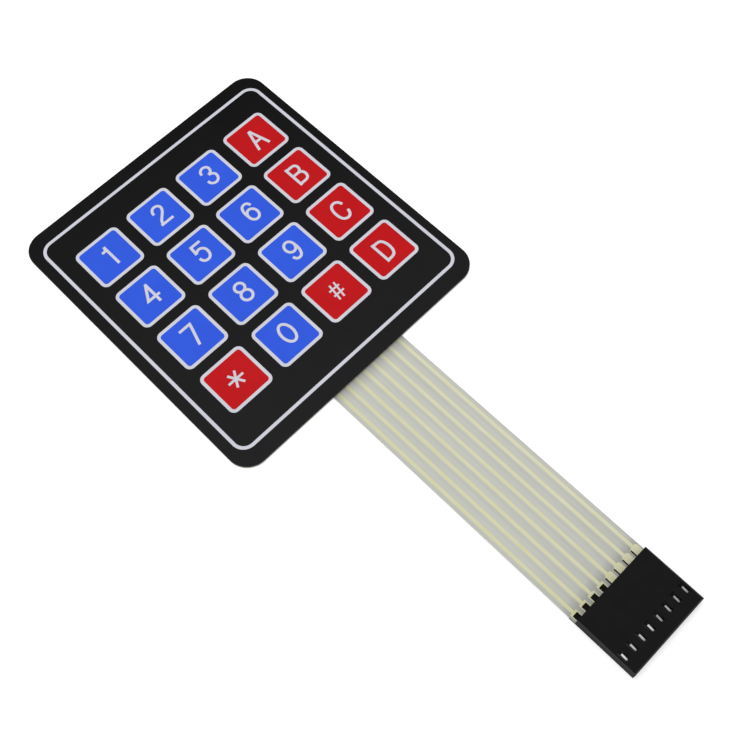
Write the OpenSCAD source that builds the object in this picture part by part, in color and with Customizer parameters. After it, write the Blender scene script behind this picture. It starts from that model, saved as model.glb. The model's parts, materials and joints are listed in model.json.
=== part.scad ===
// Sixteen-key membrane keypad with a flat film tail and a crimped pin-socket connector.
// The origin is the middle of the pad's rear face, with the keys facing +Z and the tail along -Y.

/* [Pad] */
// Width of the pad
pad_w = 69; // [67:0.5:90]
// Height of the pad, from its top edge to the edge that the tail leaves
pad_h = 76; // [72:0.5:110]
// Corner radius of the pad
pad_r = 5; // [1:0.25:8]

/* [Keys] */
// Distance between key columns
key_pitch_x = 14.65; // [13:0.05:15.2]
// Distance between key rows
key_pitch_y = 14.1; // [13:0.05:15.2]
// Width of a key, to the middle of its outline
key_w = 11; // [8:0.1:11.8]
// Height of a key, to the middle of its outline
key_h = 10.8; // [8:0.1:11.8]
// Corner radius of a key, at the middle of its outline
key_r = 1.1; // [0.6:0.05:3]
// How far the block of keys is printed to the right of the pad's middle
key_dx = 0.45; // [-1:0.05:1]
// How far the block of keys is printed above the pad's middle
key_dy = 0.65; // [-1:0.05:1]

/* [Printed lines] */
// Width of every white line
line_w = 0.75; // [0.3:0.05:1.1]
// Distance from the pad's side edges to the middle of the border line
border_inset_x = 2.65; // [1.5:0.05:4]
// Distance from the pad's top and bottom edges to the middle of the border line
border_inset_y = 3.95; // [1.5:0.05:5]
// Corner radius of the border line, at its middle
border_r = 2.8; // [1:0.1:6]
// How far the border line is printed to the right of the pad's middle
border_dx = 0.25; // [-0.8:0.05:0.8]
// How far the border line is printed above the pad's middle
border_dy = 0.2; // [-0.8:0.05:0.8]

/* [Layers] */
// Thickness of the graphic overlay
overlay_t = 0.2; // [0.12:0.01:0.4]
// Depth of the printed fields in the overlay
print_t = 0.05; // [0.02:0.01:0.1]
// Thickness of the adhesive under the overlay
overlay_glue_t = 0.05; // [0.03:0.01:0.2]
// Thickness of each circuit film, and so of the tail
film_t = 0.125; // [0.08:0.005:0.25]
// Thickness of the spacer between the circuit films
spacer_t = 0.15; // [0.08:0.01:0.4]
// Thickness of the mounting adhesive on the rear
rear_glue_t = 0.1; // [0.05:0.01:0.5]
// Thickness of the release liner
liner_t = 0.1; // [0.05:0.01:0.2]
// Thickness of the conductive print, which lies flush in its film
ink_t = 0.03; // [0.01:0.005:0.05]

/* [Circuit] */
// Diameter of a contact disc under a key
contact_d = 8; // [5:0.1:8.6]
// Gap between a contact disc and its hole in the spacer
hole_gap = 0.7; // [0.3:0.05:1.2]
// Width of the air channels that join the holes in the spacer
vent_w = 1.2; // [0.5:0.1:3]
// Width of a printed trace inside the pad
trace_w = 0.7; // [0.3:0.05:1]
// Distance between traces that run side by side
trace_pitch = 1.5; // [1.3:0.05:1.7]
// Gap from the outer contact discs to the nearest trace that passes them
trace_gap = 1.2; // [0.8:0.05:1.5]
// Distance from the pad's bottom edge to the lowest trace
trace_inset = 2.2; // [1:0.1:3]
// Diameter of the conductive dots that join the two circuits
dot_d = 1.8; // [1:0.05:1.9]
// Gap between such a dot and its hole in the spacer
dot_gap = 0.2; // [0.1:0.01:0.25]
// Distance from the pad's bottom edge to the middle of the dots
dot_inset = 5; // [3:0.1:6]

/* [Tail] */
// Length of tail that shows between the pad and the connector
tail_len = 66.2; // [30:0.1:150]
// How far the tail leaves the pad to the right of its middle
tail_dx = 0.2; // [-4:0.05:4]
// Length of the tail's level stretch at each end
tail_flat = 3; // [1:0.5:8]
// Width of film outside the middle of the outer conductors
tail_edge = 1.25; // [0.8:0.05:1.25]
// Width of a conductor on the tail
lead_w = 0.7; // [0.4:0.05:1.2]
// Width of a conductor where a window pierces it
eye_w = 1.7; // [1.5:0.05:1.9]
// Length of conductor behind the window, at that width
eye_margin = 0.5; // [0.2:0.05:1.5]
// Width of the window in each row conductor
window_w = 1.3; // [0.6:0.05:1.35]
// Length of that window
window_len = 1.17; // [0.5:0.01:1.4]
// Width of the slit beside each column conductor
slit_w = 0.3; // [0.1:0.05:0.4]
// Length of that slit behind the connector
slit_len = 1.7; // [0.5:0.05:3]
// Distance from a column conductor's middle to its slit's middle
slit_dx = 0.86; // [0.8:0.01:0.95]

/* [Connector] */
// Distance between pin sockets
pin_pitch = 2.54; // [2.5:0.01:3]
// Length of the connector's top face
housing_len = 14.2; // [12.5:0.1:20]
// Thickness of the connector
housing_h = 2.54; // [2.3:0.02:3.5]
// Chamfer along the connector's top edges
housing_edge = 0.3; // [0.05:0.05:0.3]
// How far the floor reaches out under the tail
shelf_len = 1.5; // [0.5:0.1:4]
// Thickness of the floor under the terminals
floor_t = 0.35; // [0.2:0.01:0.5]
// Thickness of the roof over the terminals
roof_t = 0.3; // [0.2:0.01:0.5]
// Thickness of the front wall, which the pins pass through
front_t = 1.2; // [0.6:0.1:2]
// Width of the channel that holds a terminal
channel_w = 1.94; // [1.86:0.02:2.06]
// Depth of the wide mouth that takes in the whole tail
mouth_len = 0.8; // [0.4:0.05:1]
// Side of the square hole that a pin enters
pin_hole = 0.95; // [0.7:0.05:1]
// Side of the funnel in front of that hole
funnel_w = 1.6; // [1.1:0.05:1.8]
// Depth of the funnel
funnel_len = 0.5; // [0.2:0.05:0.5]
// Width of the window over a terminal's latch, and of the box's opening under it
latch_window_w = 1.2; // [0.9:0.05:1.5]
// Length of that window
latch_window_len = 2.3; // [2.2:0.1:3]
// Distance from the connector's front to the middle of that window
latch_y = 3.9; // [3.3:0.05:4.5]

/* [Terminals] */
// Thickness of the terminal's sheet metal
sheet_t = 0.2; // [0.12:0.01:0.25]
// Clearance between a terminal and its channel
slip = 0.05; // [0.02:0.01:0.08]
// Length of the box that grips a pin
box_len = 6.2; // [5:0.1:6.5]
// Width of the latch
latch_w = 0.4; // [0.3:0.05:0.7]
// Length of the latch
latch_len = 1.6; // [1.2:0.1:2.2]
// How far the latch stands above its box
latch_rise = 0.28; // [0.1:0.02:0.28]
// Length of the crimp that grips the tail
crimp_len = 3.4; // [2.5:0.1:3.5]
// Length of one crimp claw
claw_len = 1.2; // [0.6:0.1:1.2]
// How far a claw folds over the tail
claw_reach = 0.45; // [0.2:0.05:0.55]
// Clearance between a finger of the tail and the walls of its crimp
finger_gap = 0.045; // [0.02:0.005:0.1]

/* [Hidden] */
$fn = 64;
rows = 4;
cols = 4;
pins = rows + cols;
tail_steps = 12;

// Heights of the layers, from the rear face up
rear_glue_z = liner_t;
lower_film_z = rear_glue_z + rear_glue_t;
spacer_z = lower_film_z + film_t;
upper_film_z = spacer_z + spacer_t;
overlay_glue_z = upper_film_z + film_t;
overlay_z = overlay_glue_z + overlay_glue_t;
pad_t = overlay_z + overlay_t;

// Places along the tail and the connector
pad_edge_y = -pad_h / 2;
mouth_y = pad_edge_y - tail_len;
shelf_y = mouth_y + shelf_len;
front_y = mouth_y - housing_len;
tail_w = (pins - 1) * pin_pitch + 2 * tail_edge;
housing_w = pins * pin_pitch;
seat_z = floor_t + sheet_t;
channel_h = housing_h - floor_t - roof_t;
mouth_w = (pins - 1) * pin_pitch + channel_w;
crimp_y = mouth_y - mouth_len - 2 * slip;
finger_end_y = crimp_y - crimp_len;
box_y = front_y + front_t + slip;
box_w = channel_w - 2 * slip;
box_h = channel_h - slip;
finger_w = box_w - 2 * sheet_t - 2 * finger_gap;
latch_mid_y = front_y + latch_y;
cut = 1;

// The tail's bands start this far inside the pad, where they join the sheet and its traces
tail_root = 0.5;

// Places of a key, a conductor and a trace. Neighbouring columns turn towards the tail on different levels.
function key_x(c) = key_dx + (c - (cols - 1) / 2) * key_pitch_x;
function key_y(r) = key_dy - (r - (rows - 1) / 2) * key_pitch_y;
function pin_x(k) = tail_dx + (k - (pins - 1) / 2) * pin_pitch;
function bus_x(r) = key_x(0) - contact_d / 2 - trace_gap - (rows - 1 - r) * trace_pitch;
function lead_y(r) = pad_edge_y + trace_inset + r * trace_pitch;
function turn_step(c) = c == cols - 1 ? 1 : cols - 2 - c;
function turn_y(c) = key_y(rows - 1) - contact_d / 2 - trace_gap - turn_step(c) * trace_pitch;
dot_y = pad_edge_y + dot_inset;

// The letters' column and the two corner signs are red, and the digits are blue
function is_red(r, c) = c == cols - 1 || (r == rows - 1 && c != 1);

// Height of the tail's underside, which rises smoothly from the pad to the connector's floor
function rise(t) = (1 - cos(180 * t)) / 2;
function tail_z(t) = lower_film_z + (seat_z - lower_film_z) * rise(t);
function tail_y(t) = (pad_edge_y - tail_flat) * (1 - t) + (shelf_y + tail_flat) * t;
tail_path = concat(
    [[pad_edge_y + tail_root, lower_film_z]],
    [for (i = [0:tail_steps]) [tail_y(i / tail_steps), tail_z(i / tail_steps)]],
    [[finger_end_y, seat_z]]
);

// Rectangle with round corners, centred on the origin
module plate(w, h, r) {
    square([w - 2 * r, h], center = true);
    square([w, h - 2 * r], center = true);
    for (x = [-1, 1], y = [-1, 1])
        translate([x * (w / 2 - r), y * (h / 2 - r)]) circle(r);
}

// Closed line of width line_w along the edge of such a rectangle
module plate_line(w, h, r) {
    difference() {
        plate(w + line_w, h + line_w, r + line_w / 2);
        plate(w - line_w, h - line_w, r - line_w / 2);
    }
}

// Straight line of width w between two points on one row or column
module track(a, b, w) {
    low = [min(a[0], b[0]), min(a[1], b[1])];
    span = [abs(a[0] - b[0]), abs(a[1] - b[1])];
    translate(low - [w / 2, w / 2]) square(span + [w, w]);
}

// A full sheet of the pad
module sheet(z, t) {
    translate([0, 0, z]) linear_extrude(t) plate(pad_w, pad_h, pad_r);
}

// Flat slab over a 2D shape that sits flush below the height top
module flush(top, t) {
    translate([0, 0, top - t]) linear_extrude(t) children();
}

module at_keys() {
    for (r = [0:rows - 1], c = [0:cols - 1])
        translate([key_x(c), key_y(r)]) children();
}

module border_line() {
    translate([border_dx, border_dy])
        plate_line(pad_w - 2 * border_inset_x, pad_h - 2 * border_inset_y, border_r);
}

// The coloured fields of the keys of one colour
module key_fields(red) {
    for (r = [0:rows - 1], c = [0:cols - 1])
        if (is_red(r, c) == red)
            translate([key_x(c), key_y(r)])
                plate(key_w - line_w, key_h - line_w, key_r - line_w / 2);
}

module overlay() {
    color("#19191a") difference() {
        sheet(overlay_z, overlay_t);
        translate([0, 0, pad_t - print_t]) linear_extrude(cut) {
            at_keys() plate(key_w + line_w, key_h + line_w, key_r + line_w / 2);
            border_line();
        }
    }
}

module blue_key_print() {
    color("#3b61e0") flush(pad_t, print_t) key_fields(false);
}

module red_key_print() {
    color("#bd1e21") flush(pad_t, print_t) key_fields(true);
}

module key_outline_print() {
    color("#e4e4ea") flush(pad_t, print_t) at_keys() plate_line(key_w, key_h, key_r);
}

module border_line_print() {
    color("#e4e4ea") flush(pad_t, print_t) border_line();
}

module overlay_adhesive() {
    color("#2b2b2c") sheet(overlay_glue_z, overlay_glue_t);
}

// Printed on the underside of the upper film: four columns and their ends over the tail
module column_tracks() {
    at_keys() circle(d = contact_d);
    for (c = [0:cols - 1]) {
        end_x = pin_x(rows + c);
        track([key_x(c), key_y(0)], [key_x(c), turn_y(c)], trace_w);
        track([key_x(c), turn_y(c)], [end_x, turn_y(c)], trace_w);
        track([end_x, turn_y(c)], [end_x, dot_y], trace_w);
        translate([end_x, dot_y]) circle(d = dot_d);
    }
}

// Printed on the lower film inside the pad: four rows, and the starts of the column conductors
module row_tracks() {
    at_keys() circle(d = contact_d);
    for (r = [0:rows - 1]) {
        track([key_x(cols - 1), key_y(r)], [bus_x(r), key_y(r)], trace_w);
        track([bus_x(r), key_y(r)], [bus_x(r), lead_y(r)], trace_w);
        track([bus_x(r), lead_y(r)], [pin_x(r), lead_y(r)], trace_w);
        lead_start(pin_x(r), lead_y(r));
    }
    for (c = [0:cols - 1]) {
        lead_start(pin_x(rows + c), dot_y);
        translate([pin_x(rows + c), dot_y]) circle(d = dot_d);
    }
}

// The first stretch of a conductor, down to the pad's edge
module lead_start(x, y) {
    translate([x - lead_w / 2, pad_edge_y]) square([lead_w, y - pad_edge_y]);
}

module column_circuit() {
    color("#c9c6b4") translate([0, 0, upper_film_z]) linear_extrude(ink_t) column_tracks();
}

module upper_circuit_film() {
    color("#c4c6c0") difference() {
        sheet(upper_film_z, film_t);
        translate([0, 0, upper_film_z - cut]) linear_extrude(cut + ink_t) column_tracks();
    }
}

// The holes leave the contacts bare, and the air channels join them without closing a ring
module spacer() {
    color("#2b2b2c") difference() {
        sheet(spacer_z, spacer_t);
        translate([0, 0, spacer_z - cut]) linear_extrude(spacer_t + 2 * cut) {
            at_keys() circle(d = contact_d + 2 * hole_gap);
            for (r = [0:rows - 1])
                track([key_x(0), key_y(r)], [key_x(cols - 1), key_y(r)], vent_w);
            track([key_x(cols - 1), key_y(0)], [key_x(cols - 1), key_y(rows - 1)], vent_w);
            for (c = [0:cols - 1])
                translate([pin_x(rows + c), dot_y]) circle(d = dot_d + 2 * dot_gap);
        }
    }
}

module circuit_link_dots() {
    color("#c9c6b4") translate([0, 0, spacer_z]) linear_extrude(spacer_t)
        for (c = [0:cols - 1])
            translate([pin_x(rows + c), dot_y]) circle(d = dot_d);
}

// Band of width w that follows the tail, between two heights above its underside
module tail_band(x, w, low, high) {
    under = [for (p = tail_path) p + [0, low]];
    over = [for (i = [len(tail_path) - 1:-1:0]) tail_path[i] + [0, high]];
    translate([x - w / 2, 0, 0]) rotate([90, 0, 90]) linear_extrude(w) polygon(concat(under, over));
}

// Cut through the tail in its level stretch at the connector
module tail_cut(x, w, y_low, y_high) {
    translate([x - w / 2, y_low, seat_z - cut]) cube([w, y_high - y_low, film_t + 2 * cut]);
}

// Windows in the row conductors, and slits beside the column conductors
module tail_openings() {
    for (r = [0:rows - 1])
        tail_cut(pin_x(r), window_w, mouth_y, mouth_y + window_len);
    for (c = [0:cols - 1])
        tail_cut(pin_x(rows + c) - slit_dx, slit_w, mouth_y, mouth_y + slit_len);
}

// Conductors from their grooves in the film up to the height top above its underside.
// The eyes are the wider ends of the row conductors, round their windows.
module conductors(top) {
    groove = film_t - ink_t;
    for (k = [0:pins - 1])
        tail_band(pin_x(k), lead_w, groove, top);
    for (r = [0:rows - 1])
        translate([pin_x(r) - eye_w / 2, mouth_y - mouth_len / 2, seat_z + groove])
            cube([eye_w, mouth_len / 2 + window_len + eye_margin, top - groove]);
}

module row_circuit() {
    color("#d1d1b9") difference() {
        union() {
            flush(spacer_z, ink_t) row_tracks();
            conductors(film_t);
        }
        tail_openings();
    }
}

// The tail narrows at the connector's mouth, and its end is cut into one finger for each crimp
module lower_circuit_film() {
    side = (tail_w - mouth_w) / 2 + slip;
    gap = pin_pitch - finger_w;
    color("#c4c6c0") difference() {
        union() {
            sheet(lower_film_z, film_t);
            tail_band(tail_dx, tail_w, 0, film_t);
        }
        translate([0, 0, spacer_z - ink_t]) linear_extrude(ink_t + cut) row_tracks();
        conductors(film_t + cut);
        tail_openings();
        for (x = [-1, 1])
            tail_cut(tail_dx + x * (tail_w / 2 - side / 2 + cut / 2), side + cut, finger_end_y - cut, mouth_y);
        for (k = [0:pins])
            tail_cut(pin_x(k - 0.5), gap, finger_end_y - cut, mouth_y - mouth_len + slip);
    }
}

module rear_adhesive() {
    color("#d8d6cc") sheet(rear_glue_z, rear_glue_t);
}

module release_liner() {
    color("#e9e3cf") sheet(0, liner_t);
}

// Outline of the connector from the front and from the side, with its chamfered top edges
module housing_block() {
    h = housing_h;
    e = housing_edge;
    half = housing_w / 2;
    intersection() {
        translate([tail_dx, shelf_y, 0]) rotate([90, 0, 0]) linear_extrude(shelf_y - front_y)
            polygon([[-half, 0], [half, 0], [half, h - e], [half - e, h], [e - half, h], [-half, h - e]]);
        translate([tail_dx - half, 0, 0]) rotate([90, 0, 90]) linear_extrude(housing_w)
            polygon([[front_y, 0], [shelf_y, 0], [shelf_y, seat_z], [mouth_y, seat_z],
                     [mouth_y, h], [front_y + e, h], [front_y, h - e]]);
    }
}

// Square funnel that narrows from the front face to the pin hole
module funnel() {
    a = funnel_w / 2;
    b = pin_hole / 2;
    taper = [[-a, 0], [a, 0], [b, funnel_len], [-b, funnel_len]];
    intersection() {
        translate([0, 0, -a]) linear_extrude(2 * a) polygon(taper);
        translate([-a, 0, 0]) rotate([90, 0, 90]) linear_extrude(2 * a)
            polygon([for (p = taper) [p[1], p[0]]]);
    }
}

module connector_housing() {
    pin_z = floor_t + box_h / 2;
    color("#1b1b1c") difference() {
        housing_block();
        for (k = [0:pins - 1]) translate([pin_x(k), 0, 0]) {
            translate([-channel_w / 2, front_y + front_t, floor_t])
                cube([channel_w, shelf_y - front_y - front_t + cut, channel_h]);
            translate([-pin_hole / 2, front_y - cut, pin_z - pin_hole / 2])
                cube([pin_hole, front_t + 2 * cut, pin_hole]);
            translate([0, front_y, pin_z]) funnel();
            translate([-latch_window_w / 2, latch_mid_y - latch_window_len / 2, floor_t + channel_h - slip])
                cube([latch_window_w, latch_window_len, roof_t + slip + cut]);
        }
        translate([tail_dx - mouth_w / 2, mouth_y - mouth_len, seat_z])
            cube([mouth_w, mouth_len + cut, floor_t + channel_h - seat_z]);
    }
}

// Folded box that grips a pin. It is open under the housing's window, and its latch springs up there.
module terminal_box() {
    top = box_h;
    root = latch_mid_y - latch_window_len / 2 - box_y;
    rotate([90, 0, 90]) translate([0, 0, -box_w / 2]) linear_extrude(sheet_t) square([box_len, top]);
    rotate([90, 0, 90]) translate([0, 0, box_w / 2 - sheet_t]) linear_extrude(sheet_t) square([box_len, top]);
    translate([-box_w / 2, 0, 0]) cube([box_w, box_len, sheet_t]);
    difference() {
        translate([-box_w / 2, 0, top - sheet_t]) cube([box_w, box_len, sheet_t]);
        translate([-latch_window_w / 2, root, top - sheet_t - cut])
            cube([latch_window_w, latch_window_len, sheet_t + 2 * cut]);
    }
    translate([-latch_w / 2, root, top]) rotate([90, 0, 90]) linear_extrude(latch_w)
        polygon([[0, -sheet_t], [latch_len, latch_rise - sheet_t], [latch_len, latch_rise], [0, 0]]);
}

// Open channel that folds its claws over a finger of the tail
module terminal_crimp() {
    inner = box_w / 2 - sheet_t;
    open = inner - claw_reach;
    lift = sheet_t + film_t;
    translate([-box_w / 2, 0, 0]) cube([box_w, crimp_len, sheet_t]);
    for (y = [0, crimp_len - claw_len], x = [0, 1])
        mirror([x, 0, 0]) translate([0, y, 0]) {
            translate([inner, 0, 0]) cube([sheet_t, claw_len, lift + sheet_t]);
            translate([open, 0, lift]) cube([claw_reach + sheet_t, claw_len, sheet_t]);
        }
}

// One terminal, stamped from sheet: its box in front, its crimp behind, and a neck between them
module terminal(k) {
    neck_y = box_y + box_len;
    neck_w = box_w - 2 * sheet_t;
    color("#c8c8c4") translate([pin_x(k), 0, floor_t]) {
        translate([0, box_y, 0]) terminal_box();
        translate([-neck_w / 2, neck_y, 0]) cube([neck_w, finger_end_y - neck_y, sheet_t]);
        translate([0, finger_end_y, 0]) terminal_crimp();
    }
}

overlay();
blue_key_print();
red_key_print();
key_outline_print();
border_line_print();
overlay_adhesive();
upper_circuit_film();
column_circuit();
spacer();
circuit_link_dots();
row_circuit();
lower_circuit_film();
rear_adhesive();
release_liner();
connector_housing();
for (k = [1:pins])
    terminal(k - 1);
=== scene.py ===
"""Looks of a sixteen-key membrane keypad with a film tail and an eight-way socket connector."""

import json
import math

import bpy
from mathutils import Matrix, Vector
from mathutils.geometry import delaunay_2d_cdt


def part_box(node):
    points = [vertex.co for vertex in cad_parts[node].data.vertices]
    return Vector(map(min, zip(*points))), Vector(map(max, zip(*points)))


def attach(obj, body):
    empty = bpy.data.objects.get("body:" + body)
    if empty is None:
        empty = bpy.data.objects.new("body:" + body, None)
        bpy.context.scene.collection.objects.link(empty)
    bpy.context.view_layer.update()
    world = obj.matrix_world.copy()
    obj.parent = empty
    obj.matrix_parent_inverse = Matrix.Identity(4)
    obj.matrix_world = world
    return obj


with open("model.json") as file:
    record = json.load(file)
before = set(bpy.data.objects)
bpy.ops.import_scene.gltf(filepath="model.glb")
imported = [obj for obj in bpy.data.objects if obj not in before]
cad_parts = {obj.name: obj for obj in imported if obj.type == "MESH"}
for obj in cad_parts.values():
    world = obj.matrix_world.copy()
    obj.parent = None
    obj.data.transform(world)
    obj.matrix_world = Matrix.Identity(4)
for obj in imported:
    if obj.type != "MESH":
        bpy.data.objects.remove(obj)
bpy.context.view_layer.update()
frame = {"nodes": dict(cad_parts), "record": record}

MM = 0.001

# Camera: where it stands and the point of the floor in the middle of its picture
CAMERA_AT = Vector((-59.94, -109.1, 206.25)) * MM
CAMERA_TO = Vector((-0.15, -40.39, 0.0)) * MM
CAMERA_ROLL = math.radians(-4.1)
FOCAL_LENGTH = 51.34
SENSOR_WIDTH = 36

# Keys, as the part has them
KEY_PITCH_X = 14.65
KEY_PITCH_Y = 14.1
KEY_DX = 0.45
KEY_DY = 0.65
PAD_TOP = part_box("overlay")[1].z / MM

# Tail: the pad's edge, the connector's mouth, and the conductors' pitch and the middle of one of them
PAD_EDGE_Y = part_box("overlay")[0].y / MM
MOUTH_Y = -104.2
LEAD_PITCH = 2.54
LEAD_X = 1.47

# Painted shadow of the pad's edge on the root of the tail beside it: its length, its share, how steeply it
# rises to the pad, and how far it goes on under the pad
ROOT_LENGTH = 4.5
ROOT_SHARE = 0.5
ROOT_POWER = 2.5
ROOT_HIDDEN = 0.3

# Lengths from the mouth: the last stretch of the tail, over which the painted shade grows, and where the
# film's darkest painted shade, at the mouth, starts to fade and where it is over
LAST_STRETCH = 18
END_START = 1.8
END_OVER = 3.9

# Faint darker line in the film beside each conductor: its place from the middle of the conductor, its
# share, and where it starts to fade and is over, as parts of the pitch
DARK_LINE_DX = -0.9
DARK_LINE_SHARE = 0.065
DARK_LINE_START = 0.03
DARK_LINE_OVER = 0.15

# Terminals: the height of the underside of a box's top, where the box ends and the crimp starts, and the
# lengths over which the painted shade in the box fades out there
BOX_INSIDE_Z = 1.99
BOX_FADE_Z = 0.25
BOX_REAR_Y = -110.95
BOX_FADE_Y = 0.5

# How far the upward share of a chamfer's normal may be from that of a face at 45 degrees
CHAMFER_RANGE = 0.15

# Latches: where they leave the box, the length of the painted shade at the root, and its share
LATCH_ROOT_Y = -115.65
LATCH_ROOT_LENGTH = 0.7
LATCH_ROOT_SHARE = 0.65

# Height of a printed sign, the widths of its strokes, and how close two points are merged
SIGN_LIFT = 0.02
STROKE = 0.65
STROKE_OF = {"star": 0.55, "hash": 0.44}
MERGE = 1e-5


# Materials

# Share of the fine grain in a surface's colour, beside its patches
GRAIN_SHARE = 0.4


def new_material(name):
    """A material with an empty node tree, and its tree, output and main shader."""
    made = bpy.data.materials.new(name)
    made.use_nodes = True
    tree = made.node_tree
    tree.nodes.clear()
    output = tree.nodes.new("ShaderNodeOutputMaterial")
    shader = tree.nodes.new("ShaderNodeBsdfPrincipled")
    tree.links.new(shader.outputs["BSDF"], output.inputs["Surface"])
    return made, tree, shader


def place(tree, stretch=(1, 1, 1)):
    """Object coordinates in millimetres, stretched along each axis."""
    coordinates = tree.nodes.new("ShaderNodeTexCoord")
    mapping = tree.nodes.new("ShaderNodeMapping")
    mapping.inputs["Scale"].default_value = [s / MM for s in stretch]
    tree.links.new(coordinates.outputs["Object"], mapping.inputs["Vector"])
    return mapping.outputs["Vector"]


def noise(tree, vector, size, detail=2, rough=0.5):
    """Noise whose features are about size millimetres across."""
    node = tree.nodes.new("ShaderNodeTexNoise")
    node.inputs["Scale"].default_value = 1 / size
    node.inputs["Detail"].default_value = detail
    node.inputs["Roughness"].default_value = rough
    tree.links.new(vector, node.inputs["Vector"])
    return node.outputs["Fac"]


def spread(tree, value, low, high, start=0.3, end=0.7):
    """value from start to end, spread over low to high."""
    node = tree.nodes.new("ShaderNodeMapRange")
    for socket, number in (("From Min", start), ("From Max", end), ("To Min", low), ("To Max", high)):
        node.inputs[socket].default_value = number
    tree.links.new(value, node.inputs["Value"])
    return node.outputs["Result"]


def blend_colours(tree, factor, a, b):
    """Colour a where the factor is 0, and b where it is 1. Either may be a socket."""
    node = tree.nodes.new("ShaderNodeMix")
    node.data_type = "RGBA"
    tree.links.new(factor, node.inputs["Factor"])
    for socket, colour in ((node.inputs[6], a), (node.inputs[7], b)):
        if isinstance(colour, bpy.types.NodeSocket):
            tree.links.new(colour, socket)
        else:
            socket.default_value = (*colour, 1)
    return node.outputs[2]


def drift(tree, value, lean):
    """value, with an even change along the vector lean, by its length for each millimetre."""
    along = tree.nodes.new("ShaderNodeVectorMath")
    along.operation = "DOT_PRODUCT"
    along.inputs[1].default_value = lean
    tree.links.new(place(tree), along.inputs[0])
    return calculate(tree, "ADD", value, along.outputs["Value"])


def calculate(tree, operation, *values):
    """A Math node's result for values that are sockets or numbers."""
    node = tree.nodes.new("ShaderNodeMath")
    node.operation = operation
    for socket, value in zip(node.inputs, values):
        if isinstance(value, bpy.types.NodeSocket):
            tree.links.new(value, socket)
        else:
            socket.default_value = value
    return node.outputs[0]


def position(tree):
    """The X, Y and Z of a point in millimetres."""
    parts = tree.nodes.new("ShaderNodeSeparateXYZ")
    tree.links.new(place(tree), parts.inputs[0])
    return parts.outputs


def painted_tail_shade(tree, far, near):
    """Painted shade on the tail: a painted shadow close to the pad, and painted shade towards the
    connector.

    far is the share of painted shade over the last stretch, and near the share of painted shade
    besides, right before the connector.
    """
    y = position(tree)["Y"]
    rise = spread(tree, y, 0, 1, PAD_EDGE_Y - ROOT_LENGTH, PAD_EDGE_Y)
    outside = calculate(tree, "LESS_THAN", y, PAD_EDGE_Y + ROOT_HIDDEN)
    pad_shadow = calculate(tree, "MULTIPLY", calculate(tree, "POWER", rise, ROOT_POWER), outside)
    slow = spread(tree, y, far, 0, MOUTH_Y, MOUTH_Y + LAST_STRETCH)
    mouth_shade = spread(tree, y, near, 0, MOUTH_Y + END_START, MOUTH_Y + END_OVER)
    towards_mouth = calculate(tree, "ADD", slow, mouth_shade)
    return calculate(tree, "ADD", calculate(tree, "MULTIPLY", pad_shadow, ROOT_SHARE), towards_mouth)


def painted_ink_shade(tree):
    """Painted shade on the conductors along the tail."""
    return painted_tail_shade(tree, far=0.02, near=0.0)


def film_shade_and_line(tree):
    """The same painted shade for the film, which has a faint darker line beside each conductor as well."""
    x = position(tree)["X"]
    first = LEAD_X + DARK_LINE_DX - LEAD_PITCH / 2
    pitches = calculate(tree, "DIVIDE", calculate(tree, "SUBTRACT", x, first), LEAD_PITCH)
    off = calculate(tree, "ABSOLUTE", calculate(tree, "SUBTRACT", calculate(tree, "FRACT", pitches), 0.5))
    dark_line = spread(tree, off, DARK_LINE_SHARE, 0, DARK_LINE_START, DARK_LINE_OVER)
    return calculate(tree, "ADD", painted_tail_shade(tree, far=0.09, near=0.24), dark_line)


def chamfer_highlight(tree):
    """Painted highlight: 1 on faces leaning halfway between level and upright, 0 on level and upright ones.
    """
    facing = tree.nodes.new("ShaderNodeNewGeometry")
    parts = tree.nodes.new("ShaderNodeSeparateXYZ")
    tree.links.new(facing.outputs["True Normal"], parts.inputs[0])
    halfway = math.sqrt(0.5)
    return calculate(tree, "COMPARE", parts.outputs["Z"], halfway, CHAMFER_RANGE)


def painted_metal_shade(tree):
    """Painted shade: 1 in the terminals' boxes under their tops, less at latch roots, 0 on tips and crimps.
    """
    parts = position(tree)
    below = spread(tree, parts["Z"], 1, 0, BOX_INSIDE_Z - BOX_FADE_Z, BOX_INSIDE_Z)
    ahead = spread(tree, parts["Y"], 1, 0, BOX_REAR_Y - BOX_FADE_Y, BOX_REAR_Y)
    root = spread(tree, parts["Y"], LATCH_ROOT_SHARE, 0, LATCH_ROOT_Y, LATCH_ROOT_Y + LATCH_ROOT_LENGTH)
    return calculate(tree, "MAXIMUM", calculate(tree, "MULTIPLY", below, ahead), root)


def add_bump(tree, shader, height, strength, depth):
    """Relief of that depth in millimetres."""
    node = tree.nodes.new("ShaderNodeBump")
    node.inputs["Strength"].default_value = strength
    node.inputs["Distance"].default_value = depth * MM
    tree.links.new(height, node.inputs["Height"])
    tree.links.new(node.outputs["Normal"], shader.inputs["Normal"])


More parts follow.
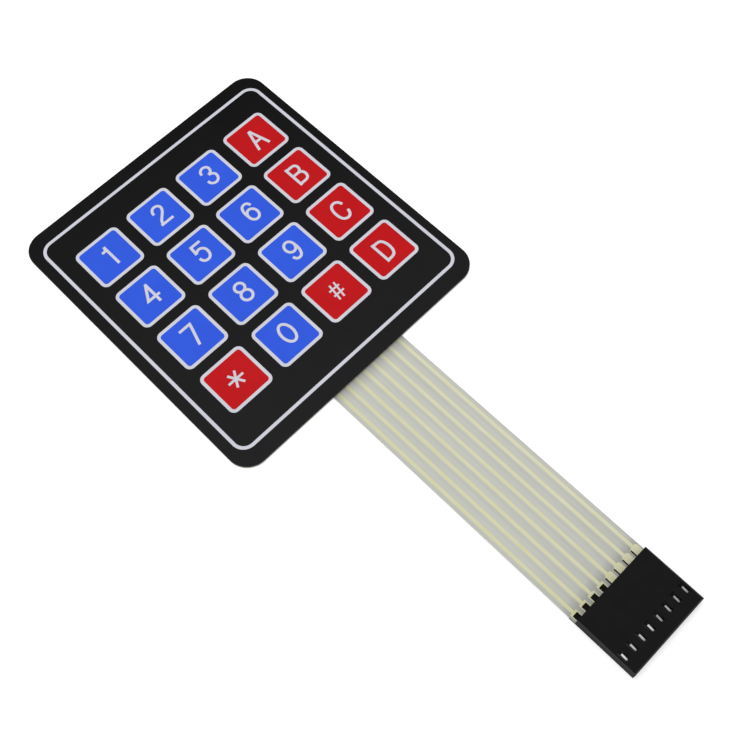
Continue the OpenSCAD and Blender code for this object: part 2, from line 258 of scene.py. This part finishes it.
def surface(name, dark, light, gloss, patch, grain, relief, specular=0.5, metal=0.0, stretch=(1, 1, 1),
            mottle=1.0, lean=None, accent=None):
    """A surface that varies from dark to light in patches and in its grain.

    gloss is the lowest and highest roughness, patch and grain are sizes in millimetres, and relief is
    the strength and depth of the grain's bump. mottle is the share of the colour's range that patches
    and grain take, and lean is a drift of the colour. accent is a function that says where another
    colour shows, and that colour.
    """
    made, tree, shader = new_material(name)
    vector = place(tree, stretch)
    patches = noise(tree, vector, patch, detail=3)
    fine = noise(tree, vector, grain, detail=3, rough=0.6)
    mixed = tree.nodes.new("ShaderNodeMix")
    mixed.inputs["Factor"].default_value = GRAIN_SHARE
    tree.links.new(patches, mixed.inputs["A"])
    tree.links.new(fine, mixed.inputs["B"])
    factor = spread(tree, mixed.outputs["Result"], 0.5 - mottle / 2, 0.5 + mottle / 2)
    if lean:
        factor = drift(tree, factor, lean)
    colour = blend_colours(tree, factor, dark, light)
    if accent:
        where, other = accent
        colour = blend_colours(tree, where(tree), colour, other)
    tree.links.new(colour, shader.inputs["Base Color"])
    tree.links.new(spread(tree, fine, *gloss), shader.inputs["Roughness"])
    shader.inputs["Specular IOR Level"].default_value = specular
    shader.inputs["Metallic"].default_value = metal
    add_bump(tree, shader, fine, *relief)
    return made


def grey(level, tint=(1, 1, 1)):
    """A grey of that level, or a tinted one."""
    return tuple(level * t for t in tint)


# The matt polyester face of the pad, over the print
FACE = {"gloss": (0.42, 0.52), "grain": 0.16, "relief": (0.25, 0.01)}

# The tint of the pad's black, and the colour of the painted shade on the tail and on the metal
COOL = (1, 1, 1.06)
SHADE = grey(0.03)

MATERIALS = {
    # The pad's colours, printed under the face, which has one grain over all of them
    # The pad's black has a painted gradient of light, lighter towards -x and -y
    "overlay_black": surface(
        "overlay_black", grey(0.0027, COOL), grey(0.0157, COOL), patch=9, specular=0.03, mottle=0.16,
        lean=(-0.0030, -0.0074, 0), **FACE),
    "blue_print": surface(
        "blue_print", (0.027, 0.094, 0.68), (0.034, 0.107, 0.75), patch=7, specular=0.06, **FACE),
    "red_print": surface(
        "red_print", (0.475, 0.0045, 0.0070), (0.53, 0.0070, 0.0100), patch=7, specular=0.06, **FACE),
    "white_print": surface(
        "white_print", (0.58, 0.585, 0.655), (0.655, 0.66, 0.725), patch=7, specular=0.06, **FACE),
    "adhesive_dark": surface(
        "adhesive_dark", grey(0.006), grey(0.012), gloss=(0.5, 0.7), patch=4, grain=0.2, relief=(0.3, 0.02),
        specular=0.2),
    # The tail's film and ink, with painted shade towards their ends
    "circuit_film": surface(
        "circuit_film", (0.485, 0.495, 0.445), (0.545, 0.555, 0.505), gloss=(0.28, 0.42), patch=1.4,
        grain=0.25, relief=(0.15, 0.01), specular=0.3, stretch=(1, 0.08, 1), accent=(film_shade_and_line, SHADE)),
    "conductive_ink": surface(
        "conductive_ink", (0.63, 0.62, 0.358), (0.675, 0.665, 0.462), gloss=(0.45, 0.6), patch=1.2,
        grain=0.18, relief=(0.25, 0.01), specular=0.3, stretch=(1, 0.3, 1), lean=(0.035, 0, 0),
        accent=(painted_ink_shade, SHADE)),
    "rear_adhesive": surface(
        "rear_adhesive", (0.62, 0.59, 0.50), (0.70, 0.67, 0.58), gloss=(0.35, 0.5), patch=5, grain=0.3,
        relief=(0.2, 0.02), specular=0.4),
    "liner_paper": surface(
        "liner_paper", (0.70, 0.66, 0.54), (0.80, 0.76, 0.65), gloss=(0.45, 0.6), patch=6, grain=0.35,
        relief=(0.35, 0.02), specular=0.3, stretch=(1, 0.6, 1), mottle=0.5),
    # Moulded plastic, with a painted highlight on its chamfers
    "connector_black": surface(
        "connector_black", grey(0.0088), grey(0.0118), gloss=(0.36, 0.5), patch=3, grain=0.12,
        relief=(0.35, 0.01), specular=0.01, accent=(chamfer_highlight, (0.045, 0.046, 0.049))),
    "terminal_metal": surface(
        "terminal_metal", (0.245, 0.241, 0.233), (0.66, 0.655, 0.635), gloss=(0.18, 0.3), patch=1.35,
        grain=0.12, relief=(0.15, 0.01), metal=1.0, stretch=(1, 0.1, 1), mottle=1.4,
        # Painted shade in the boxes and at the latches' roots, and a painted drift in the reflection,
        # brighter towards -x
        lean=(-0.045, 0, 0), accent=(painted_metal_shade, SHADE)),
}

SLOT_OF = {part["node"]: part["material_slot"] for part in frame["record"]["subparts"]}
for name, part in frame["nodes"].items():
    for own in part.material_slots:
        own.material = MATERIALS[SLOT_OF[name]]


# Key signs. Each is a list of strokes in millimetres from the key's middle. "line" keeps its corners,
# "smooth" is a curve through its points, and "ring" is an ellipse by its middle and radii.
SIGNS = {
    "1": [("line", (0.56, -2.7), (0.56, 2.95)),
          ("smooth", (-0.75, 1.81), (-0.05, 1.85), (0.35, 2.1), (0.55, 2.65))],
    "2": [("smooth", (-0.8, 1.25), (-0.65, 1.95), (-0.2, 2.6), (0.55, 2.85), (1.3, 2.6), (1.67, 1.9),
           (1.4, 0.95), (0.5, -0.1), (-0.4, -1.05), (-0.87, -2.05)),
          ("line", (-1.3, -2.1), (2.16, -2.1))],
    "3": [("smooth", (-0.82, 1.55), (-0.55, 2.3), (0.0, 2.78), (0.55, 2.91), (1.2, 2.73), (1.62, 2.2),
           (1.6, 1.55), (1.25, 0.9), (0.45, 0.57)),
          ("smooth", (0.45, 0.55), (1.25, 0.3), (1.72, -0.25), (1.75, -0.95), (1.45, -1.65), (0.95, -2.05),
           (0.45, -2.16), (-0.2, -1.98), (-0.7, -1.45), (-0.85, -0.7))],
    "A": [("line", (-1.37, -2.8), (0.11, 2.57), (0.37, 2.57), (1.83, -2.8)),
          ("line", (-0.85, -0.57), (1.3, -0.57))],
    "4": [("line", (2.03, -0.75), (-1.17, -0.75), (0.9, 2.85)),
          ("line", (0.93, 3.15), (0.93, -2.45))],
    "5": [("line", (2.0, 2.83), (-0.53, 2.83), (-0.75, 0.55)),
          ("smooth", (-0.65, 0.75), (-0.15, 1.15), (0.5, 1.29), (1.2, 1.03), (1.65, 0.4), (1.75, -0.35),
           (1.55, -1.25), (1.05, -1.87), (0.35, -2.09), (-0.35, -1.88), (-0.78, -1.35), (-0.9, -0.65))],
    "6": [("smooth", (1.76, 1.65), (1.38, 2.47), (0.65, 2.76), (-0.1, 2.5), (-0.55, 1.8), (-0.74, 0.85),
           (-0.73, -0.35)),
          ("ring", (0.54, -0.57), (1.25, 1.56))],
    "B": [("line", (-1.06, 2.9), (-1.06, -2.85)),
          ("line", (-1.06, 2.47), (0.6, 2.47)),
          ("smooth", (0.6, 2.47), (1.2, 2.28), (1.52, 1.75), (1.52, 1.1), (1.2, 0.5), (0.6, 0.23)),
          ("line", (-1.06, 0.23), (0.6, 0.23)),
          ("smooth", (0.6, 0.23), (1.3, -0.02), (1.66, -0.65), (1.68, -1.35), (1.35, -2.08), (0.65, -2.42)),
          ("line", (-1.06, -2.42), (0.65, -2.42))],
    "7": [("line", (-1.46, 2.76), (1.52, 2.76), (1.28, 1.8), (-0.08, -2.53))],
    "8": [("ring", (0.4, 1.66), (1.17, 1.16)),
          ("ring", (0.4, -0.8), (1.31, 1.31))],
    "9": [("ring", (0.42, 1.3), (1.22, 1.45)),
          ("smooth", (1.66, 1.3), (1.7, 0.3), (1.62, -0.6), (1.35, -1.4), (0.9, -1.98), (0.3, -2.18),
           (-0.4, -1.95), (-0.85, -1.1))],
    "C": [("smooth", (1.77, 1.0), (1.45, 1.85), (0.95, 2.33), (0.35, 2.49), (-0.25, 2.35), (-0.8, 1.8),
           (-1.09, 0.9), (-1.16, 0.0), (-1.09, -0.95), (-0.8, -1.83), (-0.25, -2.33), (0.35, -2.48),
           (0.95, -2.31), (1.45, -1.73), (1.73, -0.85))],
    "star": [("line", (-2.05, 0.06), (2.0, 0.06)),
             ("line", (-0.98, 1.8), (1.05, -1.7)),
             ("line", (0.95, 1.8), (-1.03, -1.7))],
    "0": [("ring", (0.28, 0.22), (1.46, 2.46))],
    "hash": [("line", (-0.2, 2.05), (-0.75, -2.1)),
             ("line", (1.03, 2.05), (0.43, -2.1)),
             ("line", (-1.3, 0.83), (1.56, 0.83)),
             ("line", (-1.26, -0.68), (1.58, -0.68))],
    "D": [("line", (-1.27, 2.66), (-1.27, -3.05)),
          ("line", (-1.27, 2.23), (0.05, 2.23)),
          ("smooth", (0.05, 2.23), (0.77, 1.97), (1.25, 1.3), (1.47, 0.35), (1.48, -0.65), (1.27, -1.6),
           (0.8, -2.3), (0.05, -2.62)),
          ("line", (-1.27, -2.62), (0.05, -2.62))],
}
ROWS = (("1", "2", "3", "A"), ("4", "5", "6", "B"), ("7", "8", "9", "C"), ("star", "0", "hash", "D"))
COLUMNS = len(ROWS[0])
CURVE_STEPS = 7
RING_STEPS = 56


def smooth_path(points):
    """A curve through the points, as a finer list of points."""
    ends = [2 * points[0] - points[1], *points, 2 * points[-1] - points[-2]]
    path = []
    for a, b, c, d in zip(ends, ends[1:], ends[2:], ends[3:]):
        for step in range(CURVE_STEPS):
            t = step / CURVE_STEPS
            path.append((2 * b + (c - a) * t + (2 * a - 5 * b + 4 * c - d) * t ** 2
                         + (3 * b - a - 3 * c + d) * t ** 3) / 2)
    return path + [points[-1]]


def stroke_path(stroke):
    """The points of a stroke's middle line, and whether it closes."""
    kind, *pairs = stroke
    points = [Vector(p) for p in pairs]
    if kind == "ring":
        middle, radii = points
        turns = [2 * math.pi * i / RING_STEPS for i in range(RING_STEPS)]
        return [middle + Vector((radii.x * math.cos(a), radii.y * math.sin(a))) for a in turns], True
    return (smooth_path(points) if kind == "smooth" else points), False


def stroke_faces(stroke, width, verts, faces):
    """Adds a stroke's outline as a row of four-sided faces with mitred corners."""
    path, closed = stroke_path(stroke)
    count = len(path)
    first = len(verts)
    for i, point in enumerate(path):
        before = path[i - 1] if closed or i > 0 else None
        after = path[(i + 1) % count] if closed or i < count - 1 else None
        normals = []
        for a, b in ((before, point), (point, after)):
            if a is not None and b is not None:
                along = (b - a).normalized()
                normals.append(Vector((-along.y, along.x)))
        side = normals[0]
        if len(normals) == 2:
            side = (normals[0] + normals[1]) / (1 + normals[0].dot(normals[1]))
        verts.extend((point + side * width / 2, point - side * width / 2))
    for i in range(count if closed else count - 1):
        a = first + 2 * i
        b = first + 2 * ((i + 1) % count)
        faces.append((a, a + 1, b + 1, b))


def sign_mesh(name, strokes, width):
    """The strokes merged into one flat shape, with a top, a bottom and sides."""
    verts, faces = [], []
    for stroke in strokes:
        stroke_faces(stroke, width, verts, faces)
    points, _, pieces, _, _, sources = delaunay_2d_cdt(verts, [], faces, 0, MERGE, True)
    inside = [tuple(piece) for piece, source in zip(pieces, sources) if source]
    count = len(points)
    low, high = PAD_TOP, PAD_TOP + SIGN_LIFT
    corners = [(p.x * MM, p.y * MM, z * MM) for z in (low, high) for p in points]
    edges = {(f[i], f[(i + 1) % len(f)]) for f in inside for i in range(len(f))}
    rim = [(a, b) for a, b in edges if (b, a) not in edges]
    shell = [tuple(reversed(f)) for f in inside] + [tuple(v + count for v in f) for f in inside]
    shell += [(a, b, b + count, a + count) for a, b in sorted(rim)]
    mesh = bpy.data.meshes.new(name)
    mesh.from_pydata(corners, [], shell)
    mesh.validate()
    return mesh


for row, names in enumerate(ROWS):
    for column, name in enumerate(names):
        width = STROKE_OF.get(name, STROKE)
        sign = bpy.data.objects.new("sign_" + name, sign_mesh("sign_" + name, SIGNS[name], width))
        bpy.context.scene.collection.objects.link(sign)
        sign.location.x = (KEY_DX + (column - (COLUMNS - 1) / 2) * KEY_PITCH_X) * MM
        sign.location.y = (KEY_DY - (row - (len(ROWS) - 1) / 2) * KEY_PITCH_Y) * MM
        sign.data.materials.append(MATERIALS["white_print"])
        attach(sign, "root")


# Wider ends of the column conductors, each between its slit and the next one, from the connector's mouth
# on. Their outline is in millimetres from the middle of the conductor and from the mouth.
INK_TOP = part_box("row_circuit")[1].z / MM
INK_LIFT = 0.015
END_OUTLINE = ((-0.68, 0), (1.0, 0), (1.0, 1.5), (0.7, 1.9), (-0.5, 1.9), (-0.68, 1.7))


def conductor_end(name, x):
    """A thin flat plate on the conductor whose middle is at x."""
    count = len(END_OUTLINE)
    corners = [((x + dx) * MM, (MOUTH_Y + dy) * MM, z * MM)
               for z in (INK_TOP, INK_TOP + INK_LIFT) for dx, dy in END_OUTLINE]
    sides = [(i, (i + 1) % count, (i + 1) % count + count, i + count) for i in range(count)]
    mesh = bpy.data.meshes.new(name)
    mesh.from_pydata(corners, [], [tuple(reversed(range(count))), tuple(range(count, 2 * count)), *sides])
    mesh.validate()
    return mesh


for column in range(COLUMNS):
    # The conductors of the rows come first
    name = f"conductor_end_{len(ROWS) + column + 1}"
    end = bpy.data.objects.new(name, conductor_end(name, LEAD_X + column * LEAD_PITCH))
    bpy.context.scene.collection.objects.link(end)
    end.data.materials.append(MATERIALS["conductive_ink"])
    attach(end, "root")


# Floor, background, light and camera

# Floor: what it adds to its own shade where it is seen, so that it shows as white, how far it lies under
# the part, half its side in metres, and the size of its patches in millimetres
FLOOR_GLOW = 0.42
FLOOR_DROP = 0.02
FLOOR_HALF = 3.0
FLOOR_PATCH = 40

# Light that the dome gives, and how bright it shows
DOME_LIGHT = 0.71
DOME_SEEN = 1.0


def seen_directly(tree):
    """1 for what the camera sees, also in reflections and through glass, and 0 for what only lights."""
    path = tree.nodes.new("ShaderNodeLightPath")
    seen = path.outputs["Is Camera Ray"]
    for ray in ("Is Glossy Ray", "Is Transmission Ray"):
        seen = calculate(tree, "MAXIMUM", seen, path.outputs[ray])
    return seen


def make_floor():
    """A pale floor, which keeps the part's shadow."""
    corners = [(x * FLOOR_HALF, y * FLOOR_HALF, 0) for x, y in ((-1, -1), (1, -1), (1, 1), (-1, 1))]
    mesh = bpy.data.meshes.new("floor")
    mesh.from_pydata(corners, [], [(0, 1, 2, 3)])
    floor = bpy.data.objects.new("floor", mesh)
    floor.location.z = -FLOOR_DROP * MM
    bpy.context.scene.collection.objects.link(floor)
    made, tree, shader = new_material("floor")
    shade = noise(tree, place(tree), FLOOR_PATCH)
    worn = blend_colours(tree, spread(tree, shade, 0, 1), grey(0.79), grey(0.81))
    tree.links.new(worn, shader.inputs["Base Color"])
    shader.inputs["Roughness"].default_value = 0.9
    shader.inputs["Specular IOR Level"].default_value = 0.0
    shader.inputs["Emission Color"].default_value = (1, 1, 1, 1)
    glow = calculate(tree, "MULTIPLY", seen_directly(tree), FLOOR_GLOW)
    tree.links.new(glow, shader.inputs["Emission Strength"])
    mesh.materials.append(made)


def make_world():
    """A soft dome of light, which shows as plain white behind the object and in what reflects it."""
    world = bpy.data.worlds.new("studio")
    bpy.context.scene.world = world
    world.use_nodes = True
    tree = world.node_tree
    tree.nodes.clear()
    output = tree.nodes.new("ShaderNodeOutputWorld")
    dome, backdrop = (tree.nodes.new("ShaderNodeBackground") for _ in range(2))
    dome.inputs["Strength"].default_value = DOME_LIGHT
    backdrop.inputs["Strength"].default_value = DOME_SEEN
    for node in (dome, backdrop):
        node.inputs["Color"].default_value = (1, 1, 1, 1)
    mix = tree.nodes.new("ShaderNodeMixShader")
    tree.links.new(seen_directly(tree), mix.inputs["Fac"])
    tree.links.new(dome.outputs[0], mix.inputs[1])
    tree.links.new(backdrop.outputs[0], mix.inputs[2])
    tree.links.new(mix.outputs[0], output.inputs["Surface"])


def aim(made, at, to):
    """Stands made at one point, looking at another."""
    turn = (to - at).to_track_quat("-Z", "Y").to_matrix().to_4x4()
    made.matrix_world = Matrix.Translation(at) @ turn


def make_softbox(name, at, to, size, power):
    """A square lamp of that size in metres and power in watts."""
    lamp = bpy.data.lights.new(name, "AREA")
    lamp.size = size
    lamp.energy = power
    made = bpy.data.objects.new(name, lamp)
    bpy.context.scene.collection.objects.link(made)
    aim(made, Vector(at), Vector(to))


def make_camera():
    """The camera at the photograph's viewing angle."""
    lens = bpy.data.cameras.new("camera")
    lens.lens = FOCAL_LENGTH
    lens.sensor_width = SENSOR_WIDTH
    lens.clip_start = 0.005
    lens.clip_end = 20
    made = bpy.data.objects.new("camera", lens)
    bpy.context.scene.collection.objects.link(made)
    aim(made, CAMERA_AT, CAMERA_TO)
    made.matrix_world = made.matrix_world @ Matrix.Rotation(CAMERA_ROLL, 4, "Z")
    bpy.context.scene.camera = made


make_floor()
make_world()
make_softbox("softbox", at=(-0.05, 0.12, 0.7), to=(0, -0.03, 0), size=0.5, power=1.8)
make_camera()
bpy.context.scene.view_settings.view_transform = "Standard"
